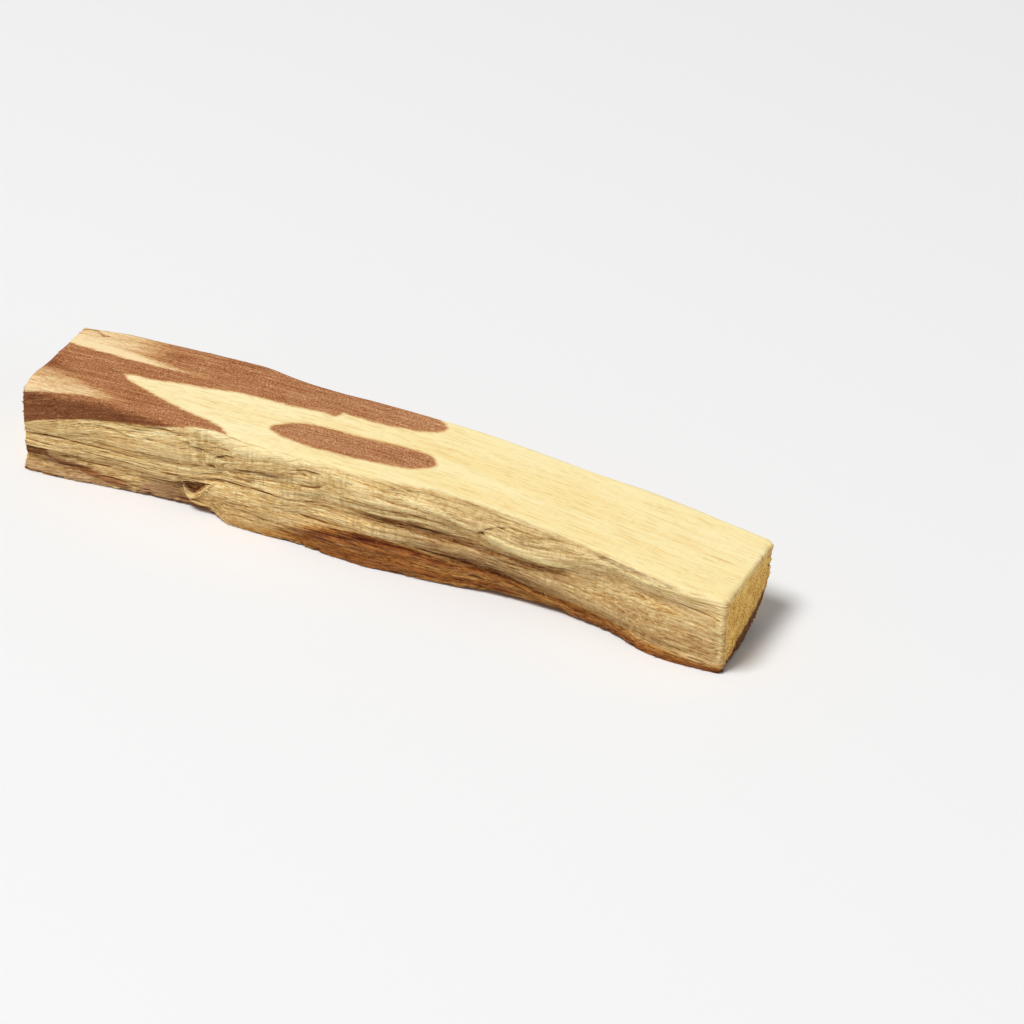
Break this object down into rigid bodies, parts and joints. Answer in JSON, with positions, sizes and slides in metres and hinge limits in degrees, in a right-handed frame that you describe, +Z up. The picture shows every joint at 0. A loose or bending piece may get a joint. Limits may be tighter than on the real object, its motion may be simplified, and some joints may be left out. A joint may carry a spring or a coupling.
{
  "type": "palo santo stick",
  "caption": "Short stick of aromatic palo santo wood, sawn on top and at the ends, split along its wavy grain at front and back, lying flat on its underside.",
  "frame": {"origin": "under the middle of the stick's box, on the surface that it lies on", "axes": "+X along the stick towards its thinner end, +Y from the torn front face to the back, +Z up"},
  "size_m": [0.1016, 0.0192, 0.0147],
  "materials": {
    "wood": "raw and unfinished: a smooth sawn top of pale cream sapwood with reddish-brown heartwood, and rough split faces"
  },
  "bodies": {
    "root": {"stick": "wood"}
  },
  "joints": []
}
